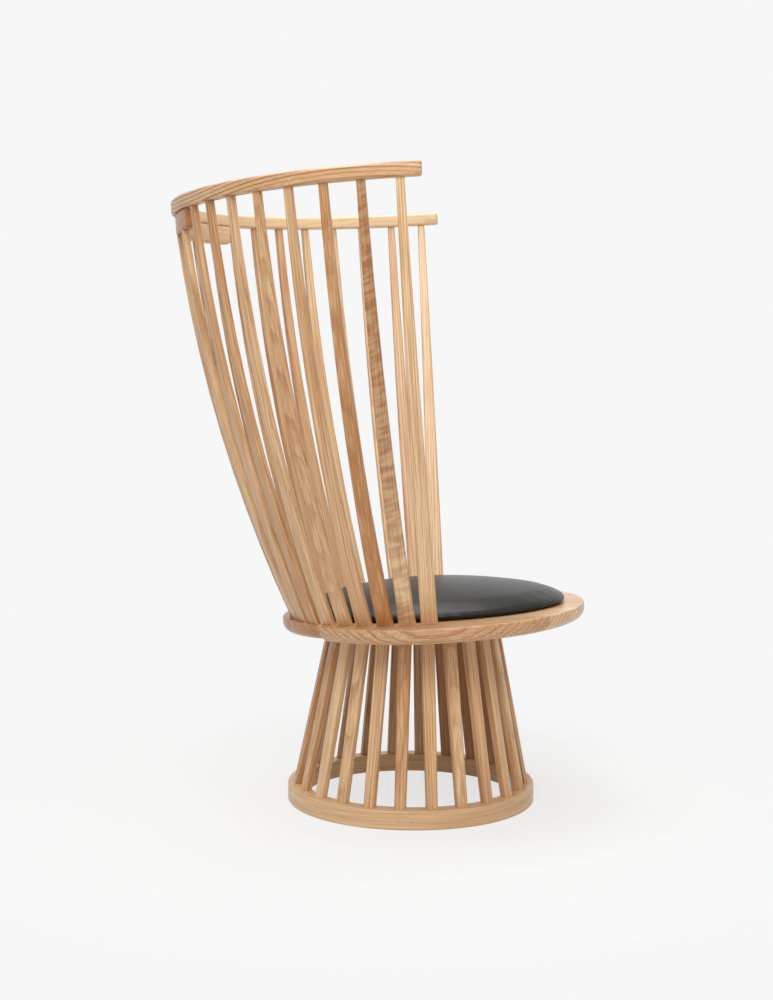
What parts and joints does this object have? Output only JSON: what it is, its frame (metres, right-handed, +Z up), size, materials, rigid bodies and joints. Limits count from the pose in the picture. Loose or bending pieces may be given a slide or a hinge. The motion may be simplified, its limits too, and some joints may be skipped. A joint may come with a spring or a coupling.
{
  "type": "spindle back chair",
  "caption": "Tall wooden chair with a round leather-padded seat, a spindle cage base on a floor ring and a fan of bent back spindles under a bowed crest rail.",
  "frame": {"origin": "bottom centre of the whole chair's box: on the floor, midway between the seat's front edge and the crest rail's rear edge", "axes": "+Z up, -Y to the chair's front, +X to the sitter's left"},
  "size_m": [0.939, 0.8165, 1.21],
  "materials": {
    "ash": "satin clear lacquer on ash",
    "dowel": "bare beech",
    "board": "bare birch plywood",
    "pad_leather": "smooth black leather, soft sheen",
    "screw_steel": "zinc plated steel"
  },
  "bodies": {
    "root": {"base_ring": "ash", "seat": "ash", "seat_pad": "pad_leather", "pad_board": "board", "pad_screws": "screw_steel", "crest_rail_left": "ash", "crest_rail_right": "ash", "crest_dowels": "dowel", "crest_block": "ash", "block_screws": "screw_steel", "base_spindle_1": "ash", "base_spindle_2": "ash", "base_spindle_3": "ash", "base_spindle_4": "ash", "base_spindle_5": "ash", "base_spindle_6": "ash", "base_spindle_7": "ash", "base_spindle_8": "ash", "base_spindle_9": "ash", "base_spindle_10": "ash", "base_spindle_11": "ash", "base_spindle_12": "ash", "base_spindle_13": "ash", "base_spindle_14": "ash", "base_spindle_15": "ash", "base_spindle_16": "ash", "base_spindle_17": "ash", "base_spindle_18": "ash", "base_spindle_19": "ash", "base_spindle_20": "ash", "base_spindle_21": "ash", "base_spindle_22": "ash", "base_spindle_23": "ash", "base_spindle_24": "ash", "back_spindle_1": "ash", "back_spindle_2": "ash", "back_spindle_3": "ash", "back_spindle_4": "ash", "back_spindle_5": "ash", "back_spindle_6": "ash", "back_spindle_7": "ash", "back_spindle_8": "ash", "back_spindle_9": "ash", "back_spindle_10": "ash", "back_spindle_11": "ash", "back_spindle_12": "ash", "back_spindle_13": "ash", "back_spindle_14": "ash", "back_spindle_15": "ash", "back_spindle_16": "ash", "back_spindle_17": "ash", "back_spindle_18": "ash", "back_spindle_19": "ash", "back_spindle_20": "ash", "back_spindle_21": "ash"}
  },
  "joints": []
}
